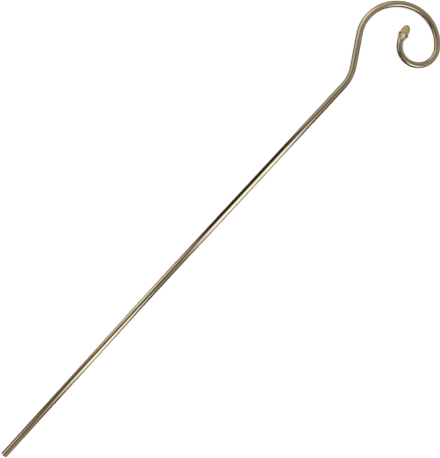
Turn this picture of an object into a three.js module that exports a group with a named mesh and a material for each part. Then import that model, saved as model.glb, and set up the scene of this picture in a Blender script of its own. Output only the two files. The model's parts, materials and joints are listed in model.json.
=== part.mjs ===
// A bishop's crosier: one plain brass tube, bent into a crook and a small volute, with a cast
// acorn on the volute's end. It is modelled lying down, as it comes to rest on a flat floor.
// Millimetres, +Z up. +X runs from the foot to the crook, and the crook curls over towards -Y.
// The origin is on the floor, under the middle of the whole staff.
import * as THREE from "three";

// The tube, three-quarter inch stock.
const TUBE_DIAMETER = 19.05;
const TUBE_WALL = 1.5;
const TUBE_SIDES = 20;

// The tube's centreline from the foot, seen from above. A positive turn is to the left, in degrees.
const LOWER_SHAFT = { length: 592 };
const SHAFT_BOW = { radius: 14000, turn: -0.63 }; // the long tube isn't quite straight
const UPPER_SHAFT = { length: 731 };
const SHOULDER = { radius: 116, turn: 32.3 };
const NECK = { length: 98 };
const CROOK_RISE = { radius: 105.5, turn: -59.4 };
const CROOK_BOW = { radius: 119, turn: -117.6 };
const VOLUTE = { radius: 54.3, turn: -120.3 };
const VOLUTE_END = { radius: 57.1, turn: -71.9 };

// A bend presses the tube a little oval: narrower in the plane of the bend and as much taller across it.
const OVALITY = 0.5; // of the tube's radius over the bend's
const OVAL_RUN = 20; // the length over which the tube turns from round to oval

// The acorn: a stem cut to fit the tube's end, a cup of leaves that flare out from it, and a scaled nut.
const ACORN_LENGTH = 47.2;
const ACORN_LEAN = -8.3; // degrees, from the tube's last direction
const STEM_RADIUS = 8.3;
const STEM_HEIGHT = 5;
const CUP_HEIGHT = 16.9;
const CUP_RADIUS = 16.2;
const RIM_THICKNESS = 2.2;
const THROAT_RADIUS = 12; // of the groove between the leaves and the nut
const LEAVES = 4;
const LEAF_RELIEF = 1.6; // how far the cup sinks between two leaves
const LEAF_NOTCH = 3.4; // how much lower the rim is there
const NUT_RADIUS = 13.5;
const SCALES_AROUND = 2 * LEAVES;
const SCALE_HEIGHT = 7;
const SCALE_RELIEF = 1.1;

const TOUCH_GAP = 0.3; // left between the acorn's stem and the tube's end
const BEND_STEP = THREE.MathUtils.degToRad(6);
const ACORN_COLUMNS = 7 * SCALES_AROUND;
const CUP_ROWS = 7;
const NUT_ROWS = 20;

const TUBE_RADIUS = TUBE_DIAMETER / 2;
const RIM_TOP = CUP_HEIGHT + RIM_THICKNESS;
const BRASS = new THREE.MeshStandardMaterial({ color: 0xa08a64, metalness: 1, roughness: 0.32 });
const CAST_BRASS = new THREE.MeshStandardMaterial({ color: 0xb79a62, metalness: 1, roughness: 0.42 });

/** A flat chain of straights and arcs, followed by the distance from its start. */
class Route {
  constructor(pieces) {
    this.length = 0;
    this.pieces = [];
    let from = { point: new THREE.Vector3(), heading: 0 };
    for (const { length, radius, turn } of pieces) {
      const angle = THREE.MathUtils.degToRad(turn ?? 0);
      const piece = {
        start: this.length,
        length: length ?? radius * Math.abs(angle),
        curvature: radius ? Math.sign(angle) / radius : 0,
        steps: Math.max(1, Math.ceil(Math.abs(angle) / BEND_STEP)),
        from,
      };
      this.pieces.push(piece);
      this.length += piece.length;
      from = this.follow(piece, piece.length);
    }
  }

  /** The point and heading at a distance along one piece. */
  follow({ from, curvature }, distance) {
    const heading = from.heading + curvature * distance;
    const run = new THREE.Vector3();
    if (curvature) {
      run.x = (Math.sin(heading) - Math.sin(from.heading)) / curvature;
      run.y = (Math.cos(from.heading) - Math.cos(heading)) / curvature;
    } else {
      run.x = distance * Math.cos(heading);
      run.y = distance * Math.sin(heading);
    }
    return { point: run.add(from.point), heading };
  }

  /** How oval the tube is at a distance along the route, from the bends within OVAL_RUN of it. */
  ovality(distance) {
    let turned = 0;
    for (const { start, length, curvature } of this.pieces) {
      const low = Math.max(start, distance - OVAL_RUN);
      const high = Math.min(start + length, distance + OVAL_RUN);
      turned += Math.max(0, high - low) * Math.abs(curvature);
    }
    return (OVALITY * TUBE_RADIUS * turned) / (2 * OVAL_RUN);
  }

  /** Where the tube's rings sit: close together in a bend, and only near the ends of a straight. */
  stations() {
    const found = [];
    for (const piece of this.pieces) {
      const { start, length, curvature, steps } = piece;
      let stops = [0, OVAL_RUN, length - OVAL_RUN];
      if (curvature) stops = Array.from({ length: steps }, (_, i) => (i * length) / steps);
      for (const stop of stops) {
        found.push({ ...this.follow(piece, stop), oval: this.ovality(start + stop) });
      }
    }
    const last = this.pieces.at(-1);
    found.push({ ...this.follow(last, last.length), oval: this.ovality(this.length) });
    return found;
  }
}

/** A curve that steps from one station to the next, for a sweep with a ring at each of them. */
class Stepped extends THREE.Curve {
  constructor(stations) {
    super();
    this.stations = stations;
  }

  nearest(t) {
    return this.stations[Math.round(t * (this.stations.length - 1))];
  }

  getPoint(t) {
    return this.nearest(t).point.clone();
  }

  getTangent(t) {
    return alongside(this.nearest(t).heading);
  }

  getUtoTmapping(u) {
    return u;
  }
}

/** The flat direction of a heading. */
function alongside(heading) {
  return new THREE.Vector3(Math.cos(heading), Math.sin(heading), 0);
}

/** The flat direction to the left of a heading. */
function leftOf(heading) {
  return alongside(heading + Math.PI / 2);
}

/** Moves each vertex of a geometry by a function that changes the vector it is given. */
function reshape(geometry, change) {
  const places = geometry.attributes.position;
  const vertex = new THREE.Vector3();
  for (let i = 0; i < places.count; i++) {
    change(vertex.fromBufferAttribute(places, i));
    places.setXYZ(i, vertex.x, vertex.y, vertex.z);
  }
  geometry.computeVertexNormals();
  return geometry;
}

/** The whole tube, open at both ends, pressed oval where it bends. */
function tubeGeometry(stations) {
  const ring = new THREE.Shape().absarc(0, 0, TUBE_RADIUS, 0, 2 * Math.PI, false);
  ring.holes.push(new THREE.Path().absarc(0, 0, TUBE_RADIUS - TUBE_WALL, 0, 2 * Math.PI, true));
  const tube = new THREE.ExtrudeGeometry(ring, {
    extrudePath: new Stepped(stations),
    steps: stations.length - 1,
    curveSegments: TUBE_SIDES / 2,
  });
  return reshape(tube, (vertex) => {
    const squared = stations.map(({ point }) => vertex.distanceToSquared(point));
    const station = stations[squared.indexOf(Math.min(...squared))];
    const left = leftOf(station.heading);
    const side = vertex.clone().sub(station.point).dot(left);
    vertex.addScaledVector(left, -side * station.oval);
    vertex.z *= 1 + station.oval;
  });
}

/** The acorn's outline as radius and height, from the middle of its foot to its tip. */
function acornProfile() {
  const profile = [new THREE.Vector2(0, 0)];
  for (let i = 0; i <= CUP_ROWS; i++) {
    const share = i / CUP_ROWS;
    profile.push(new THREE.Vector2(STEM_RADIUS + (CUP_RADIUS - STEM_RADIUS) * share, CUP_HEIGHT * share));
  }
  profile.push(new THREE.Vector2(CUP_RADIUS, RIM_TOP - RIM_THICKNESS / 2));
  profile.push(new THREE.Vector2(CUP_RADIUS - RIM_THICKNESS / 2, RIM_TOP));
  profile.push(new THREE.Vector2(THROAT_RADIUS, RIM_TOP));
  for (let i = 1; i <= NUT_ROWS; i++) {
    const share = i / NUT_ROWS;
    const radius = NUT_RADIUS * Math.sqrt(1 - share ** 3);
    profile.push(new THREE.Vector2(radius, THREE.MathUtils.lerp(RIM_TOP, ACORN_LENGTH, share)));
  }
  return profile;
}

/** The leaves on the cup and the scales on the nut, cut into one point of the acorn, whose axis is X. */
function carve(vertex) {
  const radius = Math.hypot(vertex.y, vertex.z);
  const angle = Math.atan2(vertex.z, vertex.y);
  const betweenLeaves = 1 - Math.abs(Math.cos((LEAVES * angle) / 2));
  const scaleTurn = (SCALES_AROUND * angle) / 2;
  const scaleRise = (Math.PI * (vertex.x - CUP_HEIGHT)) / SCALE_HEIGHT;
  const onScale = Math.abs(Math.cos(scaleTurn + scaleRise) * Math.cos(scaleTurn - scaleRise));
  let sunk = 0;
  if (vertex.x > RIM_TOP) sunk = SCALE_RELIEF * (1 - onScale) * Math.min(1, radius / THROAT_RADIUS);
  else if (radius > STEM_RADIUS) sunk = LEAF_RELIEF * betweenLeaves * (vertex.x / CUP_HEIGHT) ** 2;
  if (radius > sunk) {
    vertex.y *= 1 - sunk / radius;
    vertex.z *= 1 - sunk / radius;
  }
  const nearRim = THREE.MathUtils.smoothstep(vertex.x, STEM_HEIGHT, CUP_HEIGHT);
  const overRim = THREE.MathUtils.smoothstep(vertex.x, RIM_TOP, RIM_TOP + 2 * LEAF_NOTCH);
  vertex.x -= LEAF_NOTCH * betweenLeaves * nearRim * (1 - overRim);
}

/** The acorn along +X, its foot cut so that it meets the tube at the angle of its lean. */
function acornGeometry() {
  const slope = Math.tan(THREE.MathUtils.degToRad(ACORN_LEAN));
  const acorn = new THREE.LatheGeometry(acornProfile(), ACORN_COLUMNS);
  acorn.rotateZ(-Math.PI / 2);
  return reshape(acorn, (vertex) => {
    carve(vertex);
    vertex.x += slope * vertex.y * Math.max(0, 1 - vertex.x / STEM_HEIGHT);
  });
}

/** A named mesh. */
function piece(name, geometry, material) {
  const mesh = new THREE.Mesh(geometry, material);
  mesh.name = name;
  return mesh;
}

const shaft = [LOWER_SHAFT, SHAFT_BOW, UPPER_SHAFT];
const crook = [SHOULDER, NECK, CROOK_RISE, CROOK_BOW, VOLUTE, VOLUTE_END];
const stations = new Route([...shaft, ...crook]).stations();
const foot = stations[0];
const tubeEnd = stations.at(-1);

const acorn = piece("acorn_finial", acornGeometry(), CAST_BRASS);
acorn.position.copy(tubeEnd.point).addScaledVector(alongside(tubeEnd.heading), TOUCH_GAP);
acorn.rotation.z = tubeEnd.heading + THREE.MathUtils.degToRad(ACORN_LEAN);

const staff = new THREE.Group();
staff.add(piece("staff_tube", tubeGeometry(stations), BRASS), acorn);

// The staff rests on the foot's rim, the crook's left side and the rim of the acorn's cup.
const crookSide = stations.reduce((widest, next) => (next.point.y > widest.point.y ? next : widest));
const rimCentre = alongside(acorn.rotation.z).multiplyScalar(CUP_HEIGHT).add(acorn.position);
const below = (point, depth) => new THREE.Vector3(point.x, point.y, point.z - depth);
const floor = new THREE.Plane().setFromCoplanarPoints(
  below(foot.point, TUBE_RADIUS),
  below(rimCentre, CUP_RADIUS),
  below(crookSide.point, TUBE_RADIUS * (1 + crookSide.oval)),
);
staff.quaternion.setFromUnitVectors(floor.normal, new THREE.Vector3(0, 0, 1));
const box = new THREE.Box3().setFromObject(staff, true);
const middle = box.getCenter(new THREE.Vector3());
staff.position.set(-middle.x, -middle.y, -box.min.z);

const crosier = new THREE.Group();
crosier.add(staff);

export default crosier;
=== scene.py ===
"""A bishop's crosier: a staff of drawn brass tube, bent into a crook that curls into a volute,
with a cast acorn set in the volute's end. It lies on the pale floor of a studio.

Everything is in metres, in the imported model's frame, where +Z is up from the floor. Each piece is
first modelled in the staff's own frame and then laid down. There the origin is the middle of the
tube's foot, +X the way the shaft leaves it, +Y to the left of that and +Z out of the bends' plane.
"""

import json
import logging
import math
from collections.abc import Iterator
from dataclasses import dataclass
from enum import Enum

import bpy
import numpy as np
from mathutils import Matrix, Vector


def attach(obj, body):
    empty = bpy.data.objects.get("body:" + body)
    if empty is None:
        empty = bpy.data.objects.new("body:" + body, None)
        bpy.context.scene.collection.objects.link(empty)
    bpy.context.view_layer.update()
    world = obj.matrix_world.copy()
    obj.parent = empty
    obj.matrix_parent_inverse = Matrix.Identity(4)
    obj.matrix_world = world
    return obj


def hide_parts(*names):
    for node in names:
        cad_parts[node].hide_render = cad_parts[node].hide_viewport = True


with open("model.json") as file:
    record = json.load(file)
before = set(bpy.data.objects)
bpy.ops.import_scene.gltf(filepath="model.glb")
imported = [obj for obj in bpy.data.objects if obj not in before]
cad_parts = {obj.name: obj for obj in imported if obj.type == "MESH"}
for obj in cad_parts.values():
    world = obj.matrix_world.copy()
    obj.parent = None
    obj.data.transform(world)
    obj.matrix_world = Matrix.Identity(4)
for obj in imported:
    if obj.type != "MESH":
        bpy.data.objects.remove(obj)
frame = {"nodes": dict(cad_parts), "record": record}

LOG = logging.getLogger("crosier")
MM = 0.001
TUBE_NODE = "staff_tube"
ACORN_NODE = "acorn_finial"
BODY = "root"
FLAT_WITHIN = 0.1 * MM  # a vertex this near to the foot's plane belongs to the foot

Colour = tuple[float, float, float, float]
Pair = tuple[float, float]


# Small helpers


def linear(hex_colour: str) -> Colour:
    """Turns an sRGB colour such as "#D0B070" into linear values.

    Args:
        hex_colour: the colour as a hash sign and six hex digits.

    Returns:
        Red, green, blue and an alpha of 1.
    """
    shares = [int(hex_colour[i : i + 2], 16) / 255 for i in (1, 3, 5)]
    values = [s / 12.92 if s <= 0.04045 else ((s + 0.055) / 1.055) ** 2.4 for s in shares]
    return (*values, 1.0)


def add_node(
    tree: bpy.types.NodeTree, kind: str, inputs: dict | None = None, **settings
) -> bpy.types.Node:
    """Adds a shader node.

    Args:
        tree: the node tree that it goes in.
        kind: the node's type name.
        inputs: for each input, by name or number, a value or the output socket that feeds it.
        **settings: the node's own properties.

    Returns:
        The new node.
    """
    node = tree.nodes.new(kind)
    for name, value in settings.items():
        setattr(node, name, value)
    for key, value in (inputs or {}).items():
        if isinstance(value, bpy.types.NodeSocket):
            tree.links.new(value, node.inputs[key])
        else:
            node.inputs[key].default_value = value
    return node


def new_material(name: str) -> bpy.types.Material:
    """Makes an empty material that uses nodes.

    Args:
        name: what it is called.

    Returns:
        The material, with no node in it yet.
    """
    material = bpy.data.materials.new(name)
    material.use_nodes = True
    material.node_tree.nodes.clear()
    return material


def smooth_step(values: np.ndarray, low: float, high: float) -> np.ndarray:
    """Rises smoothly from 0 at low to 1 at high.

    Args:
        values: the numbers to place between the two.
        low, high: where the rise starts and stops.

    Returns:
        A share from 0 to 1 for each value.
    """
    share = np.clip((values - low) / (high - low), 0.0, 1.0)
    return share * share * (3 - 2 * share)


def bell(values: np.ndarray, width: float) -> np.ndarray:
    """Falls smoothly from 1 at zero towards 0, which it is near at twice the width."""
    return np.exp(-((values / width) ** 2))


def read_points(mesh: bpy.types.Mesh) -> np.ndarray:
    """Reads where a mesh's vertices are.

    Args:
        mesh: the mesh.

    Returns:
        A row of x, y and z for each vertex.
    """
    flat = np.empty(len(mesh.vertices) * 3)
    mesh.vertices.foreach_get("co", flat)
    return flat.reshape(-1, 3)


def write_points(mesh: bpy.types.Mesh, points: np.ndarray) -> None:
    """Moves a mesh's vertices to rows of x, y and z."""
    mesh.vertices.foreach_set("co", points.astype(np.float32).ravel())
    mesh.update()


def store(mesh: bpy.types.Mesh, name: str, kind: str, key: str, values: np.ndarray) -> None:
    """Keeps a value for each vertex, for the finishes to read.

    Args:
        mesh: the mesh.
        name: the attribute's name.
        kind: "FLOAT" or "FLOAT_VECTOR".
        key: "value" or "vector", to match the kind.
        values: one number or one row of three for each vertex.
    """
    attribute = mesh.attributes.new(name, kind, "POINT")
    attribute.data.foreach_set(key, values.astype(np.float32).ravel())


def start_object(name: str) -> bpy.types.Object:
    """Names the primitive that was just added, and opens it in edit mode with all of it selected.

    Args:
        name: the name for the object and for its mesh.

    Returns:
        The object.
    """
    obj = bpy.context.active_object
    obj.name = name
    obj.data.name = name
    bpy.ops.object.mode_set(mode="EDIT")
    bpy.ops.mesh.select_all(action="SELECT")
    return obj


def apply_modifier(obj: bpy.types.Object, kind: str, **settings) -> None:
    """Adds a modifier to the active object and applies it.

    Args:
        obj: the active object.
        kind: the modifier's type name.
        **settings: the modifier's own properties.
    """
    modifier = obj.modifiers.new(kind.title(), kind)
    for name, value in settings.items():
        setattr(modifier, name, value)
    bpy.ops.object.modifier_apply(modifier=modifier.name)


def select_only(obj: bpy.types.Object) -> None:
    """Makes an object the one that the operators act on.

    Args:
        obj: the object.
    """
    bpy.ops.object.select_all(action="DESELECT")
    obj.select_set(True)
    bpy.context.view_layer.objects.active = obj


# The staff's place and its route


@dataclass(frozen=True)
class StaffPose:
    """Where the staff lies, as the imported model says.

    Attributes:
        matrix: takes a point from the staff's frame to the model's frame.
    """

    matrix: Matrix

    @classmethod
    def from_frame(cls) -> "StaffPose":
        """Reads the pose from the tube's node and from the mount at the tube's foot.

        Returns:
            The pose.
        """
        mount = next(m for m in frame["record"]["mounts"] if m["name"] == "foot_end")
        along = -Vector(mount["axis"]).normalized()
        points = read_points(frame["nodes"][TUBE_NODE].data)
        # The tube is thinnest across the plane of its bends, so that direction is the plane's normal.
        flat = points - points.mean(axis=0)
        normal = Vector(np.linalg.eigh(flat.T @ flat)[1][:, 0])
        if normal.z < 0:
            normal.negate()
        left = normal.cross(along).normalized()
        normal = along.cross(left)
        on_foot = (points - np.array(mount["pos_m"])) @ np.array(along) < FLAT_WITHIN
        foot = Vector(points[on_foot].mean(axis=0))
        matrix = Matrix((along, left, normal)).transposed().to_4x4()
        matrix.translation = foot
        return cls(matrix)

    def lay_down(self, obj: bpy.types.Object) -> None:
        """Moves a finished piece from the staff's frame to where it lies, and applies its place.

        Args:
            obj: the piece.
        """
        select_only(obj)
        obj.matrix_world = self.matrix @ obj.matrix_world
        bpy.ops.object.transform_apply(location=True, rotation=True, scale=True)


@dataclass(frozen=True)
class Stretch:
    """A straight, which has a length, or a bend, which has a radius and a turn.

    Attributes:
        length: the straight's length.
        radius: the bend's radius at the tube's centreline.
        turn: the bend's turn in degrees, positive to the left.
    """

    length: float = 0.0
    radius: float = 0.0
    turn: float = 0.0

    @property
    def curvature(self) -> float:
        """The bend's turn in radians for each metre."""
        return math.copysign(1 / self.radius, self.turn) if self.radius else 0.0

    @property
    def run(self) -> float:
        """The length of centreline in it."""
        return self.length or self.radius * abs(math.radians(self.turn))


@dataclass(frozen=True)
class Leg:
    """A stretch with the place where it starts.

    Attributes:
        stretch: the straight or bend.
        start: the distance along the tube at its start.
        point: its first point in the staff's frame.
        heading: its first heading in radians, from +X towards +Y.
    """

    stretch: Stretch
    start: float
    point: Vector
    heading: float

    def follow(self, distance: float) -> tuple[Vector, float]:
        """Goes along the leg.

        Args:
            distance: how far to go from the leg's start.

        Returns:
            The point that is reached, and the heading there.
        """
        curvature = self.stretch.curvature
        heading = self.heading + curvature * distance
        if not curvature:
            return self.point + distance * direction(heading), heading
        return self.centre - left_of(heading) / curvature, heading

    @property
    def centre(self) -> Vector:
        """The middle of a bend."""
        return self.point + left_of(self.heading) / self.stretch.curvature


def direction(heading: float) -> Vector:
    """The flat direction of a heading."""
    return Vector((math.cos(heading), math.sin(heading), 0.0))


def left_of(heading: float) -> Vector:
    """The flat direction to the left of a heading."""
    return direction(heading + math.pi / 2)


@dataclass(frozen=True)
class Route:
    """The tube's centreline from its foot to the acorn, with every bend in one plane."""

    stretches: tuple[Stretch, ...] = (
        Stretch(length=592 * MM),
        Stretch(radius=14000 * MM, turn=-0.63),  # the long tube isn't quite straight
        Stretch(length=731 * MM),
        Stretch(radius=116 * MM, turn=32.3),
        Stretch(length=98 * MM),
        Stretch(radius=105.5 * MM, turn=-59.4),
        Stretch(radius=119 * MM, turn=-117.6),
        Stretch(radius=54.3 * MM, turn=-120.3),
        Stretch(radius=57.1 * MM, turn=-71.9),
    )

    def legs(self) -> Iterator[Leg]:
        """Goes through the stretches.

        Yields:
            Each stretch with the place where it starts.
        """
        leg = None
        for stretch in self.stretches:
            if leg is None:
                leg = Leg(stretch, 0.0, Vector((0.0, 0.0, 0.0)), 0.0)
            else:
                run = leg.stretch.run
                leg = Leg(stretch, leg.start + run, *leg.follow(run))
            yield leg

    def end(self) -> tuple[Vector, float]:
        """The point and the heading at the end of the tube."""
        last = list(self.legs())[-1]
        return last.follow(last.stretch.run)


# The tube


@dataclass
class StaffTube:
    """The staff: one tube, open at both ends, pressed a little oval where it is bent.

    Attributes:
        route: the centreline that it follows.
        diameter: its outer diameter, three-quarter inch stock.
        wall: the thickness of its wall.
        sides: how many sides the round mesh has.
        ring_gap: the distance between the mesh's rings on a straight.
        bend_step: the turn in degrees between two rings in a bend.
        ovality: how oval a bend is, for the tube's radius over the bend's.
        oval_run: the length over which the tube turns from round to oval.
        rim_bevel: the size of the edge that a file has broken at each end.
        sharp: the least angle of such an edge, in radians.
        lookups: how many points of the centreline are tried in each ring's gap, to unbend a vertex.
    """

    route: Route
    diameter: float = 19.05 * MM
    wall: float = 1.5 * MM
    sides: int = 64
    ring_gap: float = 20 * MM
    bend_step: float = 2.0
    ovality: float = 0.5
    oval_run: float = 20 * MM
    rim_bevel: float = 0.25 * MM
    sharp: float = 1.0
    lookups: int = 10

    @property
    def radius(self) -> float:
        """The tube's outer radius."""
        return self.diameter / 2

    def build(self, pose: StaffPose) -> bpy.types.Object:
        """Models the tube and lays it down.

        Args:
            pose: where the staff lies.

        Returns:
            The finished piece.
        """
        bpy.ops.mesh.primitive_circle_add(
            vertices=self.sides, radius=self.radius, rotation=(0, math.pi / 2, 0)
        )
        tube = start_object("brass_tube")
        for leg in self.route.legs():
            self._draw(leg)
        bpy.ops.mesh.select_all(action="SELECT")
        bpy.ops.mesh.remove_doubles(threshold=0.001 * MM)
        bpy.ops.mesh.normals_make_consistent(inside=False)
        bpy.ops.object.mode_set(mode="OBJECT")
        bpy.ops.object.transform_apply(location=True, rotation=True, scale=True)
        self._press(tube.data)
        apply_modifier(tube, "SOLIDIFY", thickness=self.wall, offset=-1)
        apply_modifier(
            tube, "BEVEL", width=self.rim_bevel, segments=2, limit_method="ANGLE", angle_limit=self.sharp
        )
        bpy.ops.object.shade_smooth_by_angle(angle=math.radians(30))
        pose.lay_down(tube)
        return tube

    def _draw(self, leg: Leg) -> None:
        """Draws the selected ring out along one leg, ring by ring.

        Args:
            leg: the leg, which starts at the selected ring.
        """
        stretch = leg.stretch
        if stretch.radius:
            steps = max(1, math.ceil(abs(stretch.turn) / self.bend_step))
            angle = -math.radians(stretch.turn)
            bpy.ops.mesh.spin(
                steps=steps, angle=angle, center=leg.centre, axis=(0, 0, 1), dupli=False
            )
            return
        count = math.ceil(stretch.length / self.ring_gap)
        step = direction(leg.heading) * (stretch.length / count)
        for _ in range(count):
            bpy.ops.mesh.extrude_region_move(TRANSFORM_OT_translate={"value": step})

    def _oval_at(self, distances: np.ndarray) -> np.ndarray:
        """Works out how oval the tube is, from the bends within oval_run of each place.

        Args:
            distances: the places, as distances along the tube.

        Returns:
            For each place, the share by which the tube is thinner across the bend and thicker out of it.
        """
        turned = np.zeros(len(distances))
        for leg in self.route.legs():
            low = np.maximum(leg.start, distances - self.oval_run)
            high = np.minimum(leg.start + leg.stretch.run, distances + self.oval_run)
            turned += np.clip(high - low, 0, None) * abs(leg.stretch.curvature)
        return self.ovality * self.radius * turned / (2 * self.oval_run)

    def _press(self, mesh: bpy.types.Mesh) -> None:
        """Presses the bends oval, and keeps each vertex's place on the straight tube as "unbent".

        That place is the distance along the tube, then how far left and how high the vertex is.

        Args:
            mesh: the tube's mesh, still without its wall.
        """
        points = read_points(mesh)
        unbent = np.zeros_like(points)
        nearest = np.full(len(points), np.inf)
        lefts = np.zeros_like(points)
        for leg in self.route.legs():
            count = max(1, math.ceil(leg.stretch.run / self.ring_gap * self.lookups))
            for i in range(count + 1):
                distance = leg.stretch.run * i / count
                place, heading = leg.follow(distance)
                left = left_of(heading)
                offset = points - np.array(place)
                squared = (offset**2).sum(axis=1)
                closer = squared < nearest
                nearest[closer] = squared[closer]
                lefts[closer] = left
                forward = offset[closer] @ np.array(direction(heading))
                unbent[closer, 0] = leg.start + distance + forward
                unbent[closer, 1] = offset[closer] @ np.array(left)
                unbent[closer, 2] = points[closer, 2]
        oval = self._oval_at(unbent[:, 0])
        points -= lefts * (unbent[:, 1] * oval)[:, None]
        points[:, 2] *= 1 + oval
        write_points(mesh, points)
        store(mesh, "unbent", "FLOAT_VECTOR", "vector", unbent)


# The acorn


@dataclass(frozen=True)
class PaintedShade:
    """How dark the shade is that is painted into the casting's hollows, where 1 is darkest.

    Attributes:
        groove: between two leaves.
        vein: in the veins of a leaf.
        valley: on the slopes down to a groove.
        stem: on the stem, most at its foot.
        rim: on the collar line and over the cup's lip.
        scale: between two scales.
        scale_fade: the power by which that fades up the scales.
    """

    groove: float = 0.9
    vein: float = 0.35
    valley: float = 0.4
    stem: float = 0.3
    rim: float = 0.8
    scale: float = 0.8
    scale_fade: float = 1.5


@dataclass
class Acorn:
    """The cast acorn: a stem in the tube's end, a cup of four leaves and a nut covered in scales.

    It is modelled as a round body along +X from the middle of its foot, and then carved.

    Attributes:
        length: from the foot to the nut's tip.
        lean: degrees by which it leans from the tube's last direction.
        touch_gap: the gap between its foot and the tube's end.
        stem_radius, stem_height: the stem, whose foot is cut to meet the tube at the lean.
        foot_edge: the share of the stem's radius inside which the foot stays flat.
        cup_height, cup_radius: the cup up to its rim.
        rim_thickness: the thickness of the leaves at the rim.
        throat_radius: the bottom of the groove between leaves and nut.
        throat_depth: how far under the rim's top it lies, for the rim's thickness.
        leaves: how many leaves make the cup.
        leaf_relief: how far the cup sinks between two leaves.
        leaf_notch: how much lower the rim is there.
        leaf_wave: how much the rim waves on each leaf, for the notch.
        groove_depth: how deep the groove between two leaves is.
        midrib_height: how far a leaf's midrib stands out of its blade.
        line_width: how wide that groove and the midrib are, for half a leaf.
        vein_depth, vein_gap: how deep the veins are, and how far apart.
        vein_slant: how many gaps a vein climbs from the midrib to the leaf's edge.
        vein_start, midrib_start: the shares of the cup's height where they start and are full.
        collar_depth, collar_width: the line that is sunk round the cup's foot.
        joint_width: the width of the shade painted as a dark line at the tube's end.
        throat_width: the width of the shade painted as a dark line where the nut leaves the cup.
        nut_radius: the nut where it leaves the cup.
        nut_bluntness: the power that keeps the nut thick up to its tip.
        scale_height: the distance from one scale to the next above it.
        scale_relief: how far the grooves between scales are sunk.
        scale_skew: how near to its tip a scale is highest.
        scale_fullness: how plump a scale is, where less is plumper.
        keel, keel_width: how much of a scale's height is its keel, and how wide that is.
        dark: how dark the painted shade in the hollows is.
        columns, rows: the mesh's vertices around and along.
        cup_steps, lip_steps, nut_steps: the outline's points for each.
        nut_crowding: how closely the nut's points crowd towards its tip.
    """

    length: float = 47.2 * MM
    lean: float = -8.3
    touch_gap: float = 0.3 * MM
    stem_radius: float = 8.3 * MM
    stem_height: float = 5 * MM
    foot_edge: float = 0.99
    cup_height: float = 16.9 * MM
    cup_radius: float = 16.2 * MM
    rim_thickness: float = 2.2 * MM
    throat_radius: float = 12 * MM
    throat_depth: float = 0.6
    leaves: int = 4
    leaf_relief: float = 1.6 * MM
    leaf_notch: float = 3.4 * MM
    leaf_wave: float = 0.12
    groove_depth: float = 0.8 * MM
    midrib_height: float = 0.35 * MM
    line_width: float = 0.09
    vein_depth: float = 0.22 * MM
    vein_gap: float = 2.6 * MM
    vein_slant: float = 1.3
    vein_start: Pair = (0.15, 0.4)
    midrib_start: Pair = (0.1, 0.5)
    collar_depth: float = 0.35 * MM
    collar_width: float = 0.9 * MM
    joint_width: float = 0.7 * MM
    throat_width: float = 1.4 * MM
    nut_radius: float = 13.5 * MM
    nut_bluntness: float = 3
    scale_height: float = 7 * MM
    scale_relief: float = 1.3 * MM
    scale_skew: float = 1.5
    scale_fullness: float = 0.6
    keel: float = 0.15
    keel_width: float = 0.16
    dark: PaintedShade = PaintedShade()
    columns: int = 288
    rows: int = 240
    cup_steps: int = 24
    lip_steps: int = 6
    nut_steps: int = 60
    nut_crowding: float = 1.3

    @property
    def rim_top(self) -> float:
        """The height of the top of the rim."""
        return self.cup_height + self.rim_thickness

    @property
    def scales_around(self) -> int:
        """How many scales go round the nut: two for each leaf."""
        return 2 * self.leaves

    def build(self, pose: StaffPose, route: Route) -> bpy.types.Object:
        """Models the acorn and lays it down at the tube's end.

        Args:
            pose: where the staff lies.
            route: the tube's centreline.

        Returns:
            The finished piece.
        """
        bpy.ops.mesh.primitive_uv_sphere_add(segments=self.columns, ring_count=self.rows, radius=1.0)
        acorn = start_object("cast_acorn")
        bpy.ops.object.mode_set(mode="OBJECT")
        self._shape(acorn.data)
        bpy.ops.object.mode_set(mode="EDIT")
        bpy.ops.mesh.select_all(action="SELECT")
        bpy.ops.mesh.normals_make_consistent(inside=False)
        bpy.ops.object.mode_set(mode="OBJECT")
        bpy.ops.object.shade_smooth_by_angle(angle=math.radians(60))
        point, heading = route.end()
        turn = Matrix.Rotation(heading + math.radians(self.lean), 4, "Z")
        acorn.matrix_world = Matrix.Translation(point + self.touch_gap * direction(heading)) @ turn
        pose.lay_down(acorn)
        return acorn

    def _outline(self) -> np.ndarray:
        """Works out the acorn's outline before it is carved.

        Returns:
            Rows of height and radius, from the middle of the foot to the tip.
        """
        foot = [(0.0, 0.0), (0.0, self.stem_radius)]
        flare = self.cup_radius - self.stem_radius
        cup = [
            (self.cup_height * share, self.stem_radius + flare * share)
            for share in np.linspace(0, 1, self.cup_steps)[1:]
        ]
        rim_radius = self.rim_thickness / 2
        lip = [
            (
                self.cup_height + rim_radius - rim_radius * math.cos(angle),
                self.cup_radius - rim_radius + rim_radius * math.sin(angle),
            )
            for angle in np.linspace(math.pi / 2, math.pi, self.lip_steps)
        ]
        throat = [(self.rim_top - self.throat_depth * self.rim_thickness, self.throat_radius)]
        nut_shares = 1 - (1 - np.linspace(0, 1, self.nut_steps)) ** self.nut_crowding
        nut = [
            (
                self.rim_top + (self.length - self.rim_top) * share,
                self.nut_radius * math.sqrt(max(0.0, 1 - share**self.nut_bluntness)),
            )
            for share in nut_shares
        ]
        return np.array([*foot, *cup, *lip, *throat, *nut])

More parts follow.
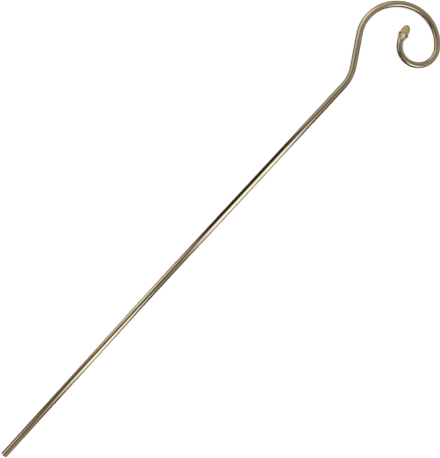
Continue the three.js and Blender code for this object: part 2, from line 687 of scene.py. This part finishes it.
    def _shape(self, mesh: bpy.types.Mesh) -> None:
        """Draws a ball's rings out to the outline, then carves them and paints shade into the hollows.

        Args:
            mesh: the ball's mesh.
        """
        points = read_points(mesh)
        ring = np.rint(np.arccos(np.clip(-points[:, 2], -1, 1)) / math.pi * self.rows)
        angle = np.arctan2(points[:, 1], points[:, 0])
        outline = self._outline()
        steps = np.hypot(*np.diff(outline, axis=0).T)
        walked = np.concatenate([[0], np.cumsum(steps)])
        wanted = ring / self.rows * walked[-1]
        height = np.interp(wanted, walked, outline[:, 0])
        radius = np.interp(wanted, walked, outline[:, 1])
        on_nut = wanted > walked[-self.nut_steps - 1]
        scales = self._scales(height, radius, angle)
        sunk, painted_shade = np.where(on_nut, scales, self._leaves(height, radius, angle))
        radius = np.maximum(radius - sunk, 0)
        height = height - self._notch(height, angle)
        lateral = radius * np.cos(angle)
        slope = math.tan(math.radians(self.lean))
        height = height + slope * lateral * np.clip(1 - height / self.stem_height, 0, None)
        write_points(mesh, np.stack([height, lateral, radius * np.sin(angle)], axis=1))
        # The shade painted into the hollows, from 0 to 1, for the finish to read.
        store(mesh, "painted_shade", "FLOAT", "value", painted_shade)

    def _leaves(self, height: np.ndarray, radius: np.ndarray, angle: np.ndarray) -> np.ndarray:
        """Carves the leaves of the cup, and the line round its foot.

        Args:
            Carves the leaves of the cup and the line round its foot, and paints shade into their
            hollows.

        Returns:
            Two rows: how far each point sinks, and how much painted shade it gets, from 0 to 1.
        """
        across, valley = self._across_leaf(angle)
        up = np.clip(height / self.cup_height, 0, 1.0)
        groove = bell(1 - across, self.line_width)
        midrib = bell(across, self.line_width)
        ripple = np.cos(2 * math.pi * (height / self.vein_gap - self.vein_slant * across))
        veins = (0.5 + 0.5 * ripple) * smooth_step(up, *self.vein_start) * (1 - midrib) * (1 - groove)
        collar = bell(height - self.stem_height, self.collar_width)
        sunk = self.leaf_relief * valley * up**2 + self.groove_depth * groove * up
        sunk += self.midrib_height * (1 - midrib) * smooth_step(up, *self.midrib_start)
        sunk += self.vein_depth * veins + self.collar_depth * collar
        sunk[radius <= self.foot_edge * self.stem_radius] = 0
        dark = self.dark
        # Painted shade: darker in the grooves, veins and valleys between leaves, on the stem, on the
        # collar line, over the lip and at the joint with the tube.
        painted_shade = dark.groove * groove * up + dark.vein * veins + dark.valley * valley * up
        painted_shade += dark.stem * (1 - smooth_step(height, 0, self.stem_height))
        painted_shade += dark.rim * (collar + smooth_step(height, self.cup_height, self.rim_top))
        painted_shade += bell(height, self.joint_width)
        return np.stack([sunk, np.clip(painted_shade, 0, 1)])

    def _across_leaf(self, angle: np.ndarray) -> tuple[np.ndarray, np.ndarray]:
        """Places each angle on its leaf.

        Args:
            angle: where each point is around the acorn.

        Returns:
            How far it is from the leaf's midrib, at 0, to the next leaf, at 1, and how far down the
            valley between the two leaves.
        """
        turn = angle * self.leaves / (2 * math.pi)
        across = 2 * np.abs(turn - np.rint(turn))
        return across, 1 - np.cos(across * math.pi / 2)

    def _scales(self, height: np.ndarray, radius: np.ndarray, angle: np.ndarray) -> np.ndarray:
        """Carves the scales of the nut, which overlap towards its tip, and paints shade between them.

        Args:
            height, radius, angle: where each point is on the smooth acorn.

        Returns:
            Two rows: how far each point sinks, and how much painted shade it gets, from 0 to 1.
        """
        turn = angle * self.scales_around / (2 * math.pi)
        rise = (height - self.cup_height) / self.scale_height
        uphill = (turn + rise + 0.5) % 1
        downhill = (-turn + rise + 0.5) % 1
        skew = self.scale_skew
        crown = np.sin(math.pi * uphill**skew) * np.sin(math.pi * downhill**skew)
        ridge = 1 - self.keel + self.keel * bell(uphill - downhill, self.keel_width)
        sunk = 1 - np.clip(crown, 0, 1) ** self.scale_fullness * ridge
        grown = np.minimum(1, radius / self.throat_radius)
        throat = bell(height - self.rim_top, self.throat_width)
        # Painted shade between the scales and where the nut leaves the cup.
        painted_shade = np.maximum(self.dark.scale * sunk**self.dark.scale_fade, throat)
        return np.stack([self.scale_relief * sunk * grown, painted_shade])

    def _notch(self, height: np.ndarray, angle: np.ndarray) -> np.ndarray:
        """Cuts the rim into leaves, each with small lobes.

        Args:
            height, angle: where each point is on the smooth acorn.

        Returns:
            How far each point is lowered towards the foot.
        """
        across, valley = self._across_leaf(angle)
        lobes = self.leaf_wave * np.sin(3 * math.pi * across) ** 2
        near_rim = smooth_step(height, self.stem_height, self.cup_height)
        over_rim = smooth_step(height, self.rim_top, self.rim_top + 2 * self.leaf_notch)
        return self.leaf_notch * (valley + lobes) * near_rim * (1 - over_rim)


# Finishes


@dataclass(frozen=True)
class DrawnBrass:
    """Drawn brass tube, satin polished along its length and then lightly toned by handling.

    It gives the eye soft, lengthwise reflections of a greyish gold, with faint streaks.

    Attributes:
        clean, toned: the metal where it is bright, and where it has toned.
        roughness, roughness_spread: of the polish, and how much it varies.
        streak_length, streak_width: the size of the polishing streaks.
        line_depth: how deep the finest lines are.
        patch: the size of the toned patches.
        tone_range: the sums of streak and patch, about 1, from clean to wholly toned.
    """

    clean: str = "#ECE4CE"
    toned: str = "#DFD4BA"
    roughness: float = 0.17
    roughness_spread: float = 0.06
    streak_length: float = 140 * MM
    streak_width: float = 1.6 * MM
    line_depth: float = 0.02 * MM
    patch: float = 60 * MM
    tone_range: Pair = (0.8, 1.2)

    def material(self) -> bpy.types.Material:
        """Builds the material from its nodes.

        Returns:
            The material.
        """
        made = new_material("drawn_brass")
        tree = made.node_tree
        place = add_node(tree, "ShaderNodeAttribute", attribute_name="unbent").outputs["Vector"]
        stretched = add_node(
            tree,
            "ShaderNodeVectorMath",
            {0: place, 1: (1 / self.streak_length, 1 / self.streak_width, 1 / self.streak_width)},
            operation="MULTIPLY",
        )
        streaks = add_node(
            tree, "ShaderNodeTexNoise", {"Vector": stretched.outputs[0], "Scale": 1.0, "Detail": 3.0}
        )
        patches = add_node(
            tree, "ShaderNodeTexNoise", {"Vector": place, "Scale": 1 / self.patch, "Detail": 4.0}
        )
        mixed = add_node(
            tree, "ShaderNodeMath", {0: streaks.outputs[0], 1: patches.outputs[0]}, operation="ADD"
        )
        low, high = self.tone_range
        share = add_node(
            tree,
            "ShaderNodeMapRange",
            {"Value": mixed.outputs[0], "From Min": low, "From Max": high},
            interpolation_type="SMOOTHSTEP",
        )
        ramp = add_node(tree, "ShaderNodeValToRGB", {"Fac": share.outputs[0]})
        ramp.color_ramp.elements[0].color = linear(self.clean)
        ramp.color_ramp.elements[1].color = linear(self.toned)
        roughness = add_node(
            tree,
            "ShaderNodeMapRange",
            {
                "Value": streaks.outputs[0],
                "To Min": self.roughness - self.roughness_spread / 2,
                "To Max": self.roughness + self.roughness_spread / 2,
            },
        )
        bump = add_node(
            tree,
            "ShaderNodeBump",
            {"Height": streaks.outputs[0], "Distance": self.line_depth, "Strength": 1.0},
        )
        shader = add_node(
            tree,
            "ShaderNodeBsdfPrincipled",
            {
                "Base Color": ramp.outputs[0],
                "Metallic": 1.0,
                "Roughness": roughness.outputs[0],
                "Normal": bump.outputs[0],
            },
        )
        add_node(tree, "ShaderNodeOutputMaterial", {"Surface": shader.outputs[0]})
        return made


@dataclass(frozen=True)
class CastBrass:
    """Cast brass, softly polished on the high places, with shade painted darker into the hollows.

    It gives the eye painted cream highlights on the tops of leaves and scales, over ochre and painted
    brown shade.

    Attributes:
        high, side, deep: the colour on the high places as a painted highlight, on the slopes, and in the
            hollows as painted shade.
        stops: how much painted shade there is where it has each of the three colours.
        bare: the share of bare metal, where the rest is under a dull film of oxide.
        polished, rough: the roughness on the high places and in the hollows.
        grain: the size of the casting's grain.
        grain_depth: how deep it is.
        grain_tone: how much it darkens, where 1 is as much as the deepest painted shade.
    """

    high: str = "#F2E6CA"
    side: str = "#D6BE8E"
    deep: str = "#6A5432"
    stops: tuple[float, float, float] = (0.2, 0.55, 1.0)
    bare: float = 0.82
    polished: float = 0.24
    rough: float = 0.45
    grain: float = 0.5 * MM
    grain_depth: float = 0.04 * MM
    grain_tone: float = 0.3

    def material(self) -> bpy.types.Material:
        """Builds the material from its nodes.

        Returns:
            The material.
        """
        made = new_material("cast_brass")
        tree = made.node_tree
        place = add_node(tree, "ShaderNodeTexCoord").outputs["Object"]
        painted_shade = add_node(tree, "ShaderNodeAttribute", attribute_name="painted_shade").outputs["Fac"]
        grain = add_node(
            tree, "ShaderNodeTexNoise", {"Vector": place, "Scale": 1 / self.grain, "Detail": 3.0}
        )
        grain_and_painted_shade = add_node(
            tree,
            "ShaderNodeMath",
            {0: grain.outputs[0], 1: self.grain_tone, 2: painted_shade},
            operation="MULTIPLY_ADD",
        )
        # The colours give painted highlights on the high places and painted shade in the hollows, with
        # the grain's random tone on top.
        ramp = add_node(tree, "ShaderNodeValToRGB", {"Fac": grain_and_painted_shade.outputs[0]})
        ramp.color_ramp.elements.new(self.stops[1])
        colours = (self.high, self.side, self.deep)
        for stop, position, colour in zip(ramp.color_ramp.elements, self.stops, colours):
            stop.position = position
            stop.color = linear(colour)
        roughness = add_node(
            tree,
            "ShaderNodeMapRange",
            {"Value": grain_and_painted_shade.outputs[0], "To Min": self.polished, "To Max": self.rough},
        )
        bump = add_node(
            tree, "ShaderNodeBump", {"Height": grain.outputs[0], "Distance": self.grain_depth}
        )
        shader = add_node(
            tree,
            "ShaderNodeBsdfPrincipled",
            {
                "Base Color": ramp.outputs[0],
                "Metallic": self.bare,
                "Roughness": roughness.outputs[0],
                "Normal": bump.outputs[0],
            },
        )
        add_node(tree, "ShaderNodeOutputMaterial", {"Surface": shader.outputs[0]})
        return made


# The studio


class SeenBy(Enum):
    """What sees a thing in the studio."""

    CAMERA_AND_FLOOR = "camera and floor"
    METAL_ONLY = "metal only"


def show_to(obj: bpy.types.Object, seen_by: SeenBy) -> None:
    """Sets which rays meet a thing in the studio.

    Args:
        obj: the thing.
        seen_by: what sees it.
    """
    metal = seen_by is SeenBy.METAL_ONLY
    obj.visible_camera = not metal
    obj.visible_diffuse = not metal
    obj.visible_shadow = not metal
    obj.visible_transmission = not metal
    obj.visible_volume_scatter = False
    obj.visible_glossy = metal


@dataclass(frozen=True)
class Line:
    """A straight line on the floor that panels run beside.

    Attributes:
        point: where it starts, in the staff's frame.
        heading: degrees from the shaft's direction, positive to the left.
    """

    point: Pair = (0.0, 0.0)
    heading: float = 0.0

    @property
    def matrix(self) -> Matrix:
        """Takes a point from the line's own frame, with the line along +X, to the staff's frame."""
        turn = Matrix.Rotation(math.radians(self.heading), 4, "Z")
        return Matrix.Translation((*self.point, 0.0)) @ turn


SHAFT_LINE = Line()
SOFT_WHITE = "#FFFDFB"
CREAM = "#FFF6E8"
WARM_WHITE = "#FFEED8"
DARK_BROWN = "#2E2519"


@dataclass(frozen=True)
class Panel:
    """A flat panel that runs beside a line: a soft light, or a card if its colour is dark.

    Its edges, as given, are where it is half faded out.

    Attributes:
        name: what it is called.
        along: where it starts and stops along the line; the shaft starts at its foot.
        angles: its two long edges, in degrees from straight up, positive to the right of the line.
        strength: how bright it is.
        soft: the length and the degrees that its edges take to fade out.
        distance: how far it is from the line.
        colour: its colour.
        line: the line that it runs beside.
    """

    name: str
    along: Pair
    angles: Pair
    strength: float
    soft: Pair = (120 * MM, 20.0)
    distance: float = 0.6
    colour: str = SOFT_WHITE
    line: Line = SHAFT_LINE

    @property
    def tilt(self) -> float:
        """The angle of its middle from straight up, in radians."""
        return math.radians(sum(self.angles) / 2)

    @property
    def half_length(self) -> float:
        """Half of its length, with all of the fade."""
        return (self.along[1] - self.along[0] + self.soft[0]) / 2

    @property
    def half_angle(self) -> float:
        """Half of the angle that it fills, with all of the fade, in radians."""
        return math.radians(self.angles[1] - self.angles[0] + self.soft[1]) / 2

    @property
    def fades(self) -> Pair:
        """The shares of its half length and of its half width over which it fades out."""
        steady = math.tan(self.half_angle - math.radians(self.soft[1])) / math.tan(self.half_angle)
        return self.soft[0] / self.half_length, 1 - steady


@dataclass
class Studio:
    """The floor, the lights, the panels that the metal reflects, and the camera.

    Attributes:
        pose: where the staff lies.
        panels: the panels round it.
        aim: the point under the camera, in the staff's frame.
        shaft_heading: degrees from the view's horizontal to the shaft.
        height: the camera's height over the staff.
        lens: the camera's focal length in millimetres.
        sight: how far the camera sees.
        daylight, daylight_strength: the even light that falls on everything.
        floor_size: the floor's side.
        floor_colour: the floor's paint.
        dome_radius: the radius of the dome that the metal reflects.
        room_colour: the tone of that dome and of the floor as the metal shows it.
        room_strength, floor_strength: how bright the two are.
        floor_depth: how far down the metal shows that floor.
    """

    pose: StaffPose
    panels: tuple[Panel, ...]
    aim: Pair = (920.7 * MM, -23.3 * MM)
    shaft_heading: float = 47.746
    height: float = 4.488
    lens: float = 120.0
    sight: float = 100.0
    daylight: str = "#FFFEFC"
    daylight_strength: float = 1.9
    floor_size: float = 40.0
    floor_colour: str = "#F2F1EF"
    dome_radius: float = 9.0
    room_colour: str = "#FFDCA8"
    room_strength: float = 0.115
    floor_strength: float = 0.05
    floor_depth: float = 0.6

    def build(self) -> None:
        """Sets up the whole studio."""
        self._camera()
        self._world()
        self._floor()
        self._dome()
        for panel in self.panels:
            self._panel(panel)
        bpy.context.scene.view_settings.view_transform = "Standard"

    def _camera(self) -> None:
        """Hangs the camera over the staff, looking straight down."""
        data = bpy.data.cameras.new("camera")
        data.lens = self.lens
        data.clip_end = self.sight
        camera = bpy.data.objects.new("camera", data)
        bpy.context.scene.collection.objects.link(camera)
        place = self.pose.matrix @ Vector((*self.aim, 0.0))
        shaft = self.pose.matrix.to_3x3() @ Vector((1.0, 0.0, 0.0))
        turn = math.atan2(shaft.y, shaft.x) - math.radians(self.shaft_heading)
        camera.location = place + Vector((0.0, 0.0, self.height))
        camera.rotation_euler = (0.0, 0.0, turn)
        bpy.context.scene.camera = camera

    def _world(self) -> None:
        """Fills the room with an even pale light."""
        world = bpy.data.worlds.new("room")
        world.use_nodes = True
        tree = world.node_tree
        tree.nodes.clear()
        light = add_node(
            tree,
            "ShaderNodeBackground",
            {"Color": linear(self.daylight), "Strength": self.daylight_strength},
        )
        add_node(tree, "ShaderNodeOutputWorld", {"Surface": light.outputs[0]})
        bpy.context.scene.world = world

    def _floor(self) -> None:
        """Lays the pale floor, and under it the tone that the metal shows of it."""
        bpy.ops.mesh.primitive_plane_add(size=self.floor_size)
        floor = bpy.context.active_object
        floor.name = "studio_floor"
        paint = new_material("pale_floor")
        tree = paint.node_tree
        shader = add_node(
            tree, "ShaderNodeBsdfDiffuse", {"Color": linear(self.floor_colour), "Roughness": 0.5}
        )
        add_node(tree, "ShaderNodeOutputMaterial", {"Surface": shader.outputs[0]})
        floor.data.materials.append(paint)
        show_to(floor, SeenBy.CAMERA_AND_FLOOR)
        bpy.ops.mesh.primitive_plane_add(size=2 * self.dome_radius)
        shown = bpy.context.active_object
        shown.name = "floor_in_metal"
        shown.location.z = -self.floor_depth
        shown.data.materials.append(glow("floor_glow", self.room_colour, self.floor_strength))
        show_to(shown, SeenBy.METAL_ONLY)

    def _dome(self) -> None:
        """Puts a warm grey room round the staff for the metal to reflect."""
        bpy.ops.mesh.primitive_uv_sphere_add(segments=48, ring_count=24, radius=self.dome_radius)
        dome = bpy.context.active_object
        dome.name = "room_in_metal"
        dome.data.materials.append(glow("room_glow", self.room_colour, self.room_strength))
        show_to(dome, SeenBy.METAL_ONLY)

    def _panel(self, panel: Panel) -> None:
        """Puts up one panel beside its line.

        Args:
            panel: the panel.
        """
        middle = sum(panel.along) / 2
        half_length = panel.half_length
        if panel.line == SHAFT_LINE:
            # The view opens out from under the camera, so the metal shows a far panel nearer to the aim.
            spread = 1 + panel.distance / self.height
            middle = self.aim[0] + (middle - self.aim[0]) * spread
            half_length *= spread
        half_width = panel.distance * math.tan(panel.half_angle)
        centre = Vector((middle, 0.0, panel.distance))
        turn = Matrix.Rotation(panel.tilt, 4, "X")
        size = Matrix.Diagonal((half_length, half_width, 1.0, 1.0))
        bpy.ops.mesh.primitive_plane_add(size=2)
        card = bpy.context.active_object
        card.name = panel.name
        beside = turn @ Matrix.Translation(centre) @ size
        card.matrix_world = self.pose.matrix @ panel.line.matrix @ beside
        card.data.materials.append(soft_panel(panel))
        show_to(card, SeenBy.METAL_ONLY)


def glow(name: str, colour: str, strength: float) -> bpy.types.Material:
    """Makes an evenly glowing material.

    Args:
        name: what it is called.
        colour: its colour as a hash sign and six hex digits.
        strength: how bright it is.

    Returns:
        The material.
    """
    made = new_material(name)
    tree = made.node_tree
    light = add_node(tree, "ShaderNodeEmission", {"Color": linear(colour), "Strength": strength})
    add_node(tree, "ShaderNodeOutputMaterial", {"Surface": light.outputs[0]})
    return made


def soft_panel(panel: Panel) -> bpy.types.Material:
    """Makes a glow or a darkness that fades out towards the panel's edges.

    Args:
        panel: the panel that it is for.

    Returns:
        The material.
    """
    made = new_material(panel.name)
    tree = made.node_tree
    place = add_node(tree, "ShaderNodeTexCoord").outputs["Object"]
    axes = add_node(tree, "ShaderNodeSeparateXYZ", {0: place})
    cover = 1.0
    for axis, fade in enumerate(panel.fades):
        size = add_node(tree, "ShaderNodeMath", {0: axes.outputs[axis]}, operation="ABSOLUTE")
        edge = add_node(
            tree,
            "ShaderNodeMapRange",
            {"Value": size.outputs[0], "From Min": 1 - fade, "To Min": 1.0, "To Max": 0.0},
            interpolation_type="SMOOTHSTEP",
        )
        both = add_node(tree, "ShaderNodeMath", {0: cover, 1: edge.outputs[0]}, operation="MULTIPLY")
        cover = both.outputs[0]
    light = add_node(
        tree, "ShaderNodeEmission", {"Color": linear(panel.colour), "Strength": panel.strength}
    )
    clear = add_node(tree, "ShaderNodeBsdfTransparent")
    mixed = add_node(tree, "ShaderNodeMixShader", {0: cover, 1: clear.outputs[0], 2: light.outputs[0]})
    add_node(tree, "ShaderNodeOutputMaterial", {"Surface": mixed.outputs[0]})
    return made


# Where the panels stand: beside the shaft, beside the neck, and round the middle of the crook.

NECK_LINE = Line((1590 * MM, 40 * MM), 32)
CROOK_MIDDLE = (1740 * MM, -35 * MM)
CROOK_TURNS = (0, 45, 90, 135)

PANELS = (
    Panel("ceiling_shade", (450 * MM, 820 * MM), (-16, 8), 1.0, (120 * MM, 14), 0.45, DARK_BROWN),
    Panel("right_fill", (-600 * MM, 2300 * MM), (20, 76), 0.31, (200 * MM, 20), 1.5, WARM_WHITE),
    Panel("foot_right_low", (-600 * MM, 130 * MM), (86, 118), 0.5, (160 * MM, 14), 1.3, WARM_WHITE),
    Panel("foot_left_light", (-600 * MM, 105 * MM), (-64, -29), 0.78, (130 * MM, 22), 0.8, CREAM),
    Panel("foot_left_low", (-600 * MM, 190 * MM), (-88, -56), 0.3, (120 * MM, 20), 0.9, WARM_WHITE),
    Panel("left_under", (240 * MM, 880 * MM), (-118, -93), 0.55, (100 * MM, 12), 0.95, WARM_WHITE),
    Panel("left_low", (380 * MM, 725 * MM), (-96, -71), 0.8, (120 * MM, 14), 0.8, CREAM),
    Panel("left_middle", (490 * MM, 800 * MM), (-72, -44), 1.0, (140 * MM, 16), 0.85),
    Panel("left_high", (400 * MM, 850 * MM), (-54, -26), 0.36, (160 * MM, 20), 0.9, WARM_WHITE),
    Panel("lower_right_first", (225 * MM, 385 * MM), (12, 52), 1.25, (170 * MM, 20), 0.7),
    Panel("lower_right_main", (340 * MM, 590 * MM), (28, 68), 1.6, (130 * MM, 20), 0.6),
    Panel("lower_right_low", (310 * MM, 540 * MM), (60, 94), 0.9, (120 * MM, 20), 0.65),
    Panel("lower_right_under", (290 * MM, 500 * MM), (84, 116), 0.5, (100 * MM, 12), 0.75, WARM_WHITE),
    Panel("upper_right_core", (860 * MM, 1320 * MM), (23, 54), 1.45, (130 * MM, 18), 0.6),
    Panel("upper_right_light", (840 * MM, 1240 * MM), (4, 100), 1.05, (150 * MM, 34), 0.65),
    Panel("upper_right_under", (915 * MM, 1190 * MM), (88, 118), 0.6, (100 * MM, 12), 0.75),
    Panel("upper_dark_card", (860 * MM, 1265 * MM), (-110, -16), 1.0, (100 * MM, 20), 0.3, DARK_BROWN),
    Panel("neck_low", (1280 * MM, 2000 * MM), (-88, -64), 0.75, (120 * MM, 16), 0.35, CREAM),
    Panel("neck_high", (1390 * MM, 2000 * MM), (-64, -26), 0.65, (200 * MM, 20), 0.37, CREAM),
    Panel("neck_left", (-100 * MM, 100 * MM), (-98, -40), 0.5, (100 * MM, 20), 0.3, CREAM, NECK_LINE),
    Panel("crook_left", (1590 * MM, 1820 * MM), (-58, -20), 0.95, (100 * MM, 20), 0.33, CREAM),
    Panel("crook_left_under", (1570 * MM, 1830 * MM), (-122, -92), 0.5, (100 * MM, 12), 0.4, WARM_WHITE),
    Panel("crook_ceiling", (1600 * MM, 2300 * MM), (-24, 24), 0.2, (200 * MM, 20), 1.6, WARM_WHITE),
)


def crook_panel(turn: int) -> Panel:
    """Describes one of the panels round the crook, to the right of a line through its middle.

    Args:
        turn: that line's heading.

    Returns:
        The panel.
    """
    line = Line(CROOK_MIDDLE, turn)
    name = f"crook_fill_{turn}"
    return Panel(name, (-170 * MM, 170 * MM), (30, 118), 0.34, (120 * MM, 24), 0.3, WARM_WHITE, line)


def finish_piece(obj: bpy.types.Object, node: str, material: bpy.types.Material) -> None:
    """Gives a piece its finish, hangs it on the body, and hides the node that it replaces.

    Args:
        obj: the piece.
        node: the name of the node that it replaces.
        material: its finish.
    """
    obj.data.materials.clear()
    obj.data.materials.append(material)
    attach(obj, BODY)
    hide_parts(node)
    LOG.info("%s: %d vertices, in place of %s", obj.name, len(obj.data.vertices), node)


def main() -> None:
    """Builds the crosier and the studio."""
    logging.basicConfig(level=logging.INFO, format="%(name)s: %(message)s")
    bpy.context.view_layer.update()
    bpy.ops.object.select_all(action="DESELECT")
    pose = StaffPose.from_frame()
    route = Route()
    tube = StaffTube(route).build(pose)
    finish_piece(tube, TUBE_NODE, DrawnBrass().material())
    acorn = Acorn().build(pose, route)
    finish_piece(acorn, ACORN_NODE, CastBrass().material())
    Studio(pose, PANELS + tuple(crook_panel(turn) for turn in CROOK_TURNS)).build()


if __name__ == "__main__":
    main()
